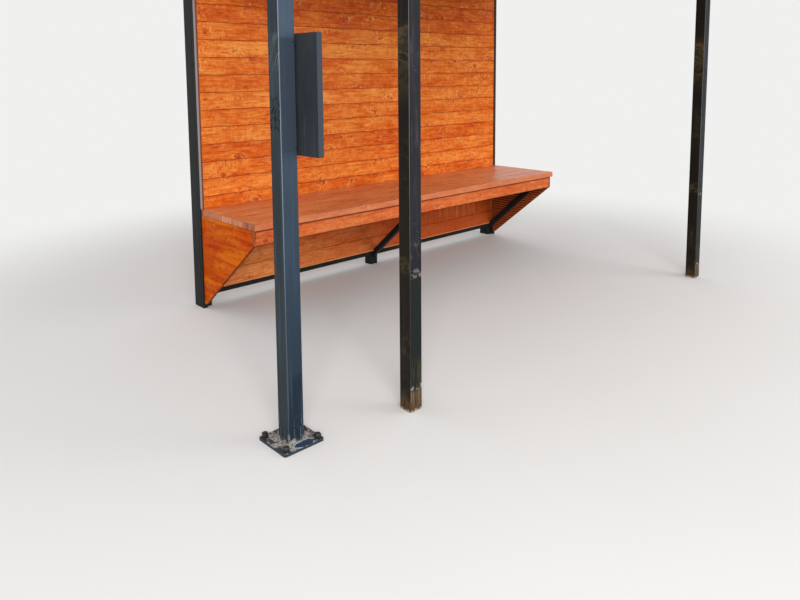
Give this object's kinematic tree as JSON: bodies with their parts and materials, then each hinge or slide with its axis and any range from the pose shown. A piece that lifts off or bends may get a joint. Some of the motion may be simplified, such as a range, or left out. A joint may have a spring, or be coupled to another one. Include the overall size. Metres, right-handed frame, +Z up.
{
  "type": "bus shelter",
  "caption": "Open-fronted steel frame shelter with a boarded back wall, a deep timber bench, a sloping sheet roof and a separate stop post with a flat timetable case.",
  "frame": {"origin": "bottom centre of the bounding box, on the ground under the posts", "axes": "+X along the back wall to the right of someone who faces the wall, +Y from the open front to the back wall, +Z up"},
  "size_m": [3.6894, 2.1874, 2.4728],
  "materials": {
    "frame_steel": "satin dark grey-black paint, scratched, with rust and cement at the feet",
    "roof_steel": "matt dark grey coated sheet",
    "trim_steel": "satin dark grey coated sheet",
    "wall_wood": "glossy orange-brown wood stain over knotty softwood boards",
    "seat_wood": "worn orange-brown wood stain over knotty softwood planks",
    "stop_steel": "satin blue-grey paint with pale smears",
    "stop_cap": "matt black",
    "case_metal": "satin blue-grey paint",
    "window": "clear",
    "case_panel": "matt pale board"
  },
  "bodies": {
    "root": {"post_front_left": "frame_steel", "post_front_right": "frame_steel", "post_back_left": "frame_steel", "post_back_middle": "frame_steel", "post_back_right": "frame_steel", "roof_beam_front": "frame_steel", "roof_beam_back": "frame_steel", "roof_beam_left": "frame_steel", "roof_beam_middle": "frame_steel", "roof_beam_right": "frame_steel", "purlin_left_1": "frame_steel", "purlin_left_2": "frame_steel", "purlin_right_1": "frame_steel", "purlin_right_2": "frame_steel", "roof_sheet": "roof_steel", "roof_trim_front": "trim_steel", "roof_trim_left": "trim_steel", "roof_trim_right": "trim_steel", "wall_rail_left": "frame_steel", "wall_rail_right": "frame_steel", "wall_edge_left": "frame_steel", "wall_edge_right": "frame_steel", "wall_boards_lower": "wall_wood", "wall_boards_upper": "wall_wood", "bench_arm_left": "frame_steel", "bench_arm_middle": "frame_steel", "bench_arm_right": "frame_steel", "bench_brace_left": "frame_steel", "bench_brace_middle": "frame_steel", "bench_brace_right": "frame_steel", "seat_plank_1": "seat_wood", "seat_plank_2": "seat_wood", "seat_plank_3": "seat_wood", "seat_plank_4": "seat_wood", "seat_plank_5": "seat_wood", "bench_fascia": "seat_wood", "bench_end_left": "seat_wood", "bench_end_right": "seat_wood", "stop_post": "stop_steel", "stop_base_plate": "stop_steel", "stop_cap": "stop_cap", "timetable_case": "case_metal", "case_window": "window", "case_panel": "case_panel", "case_bracket_upper": "case_metal", "case_bracket_lower": "case_metal"}
  },
  "joints": []
}
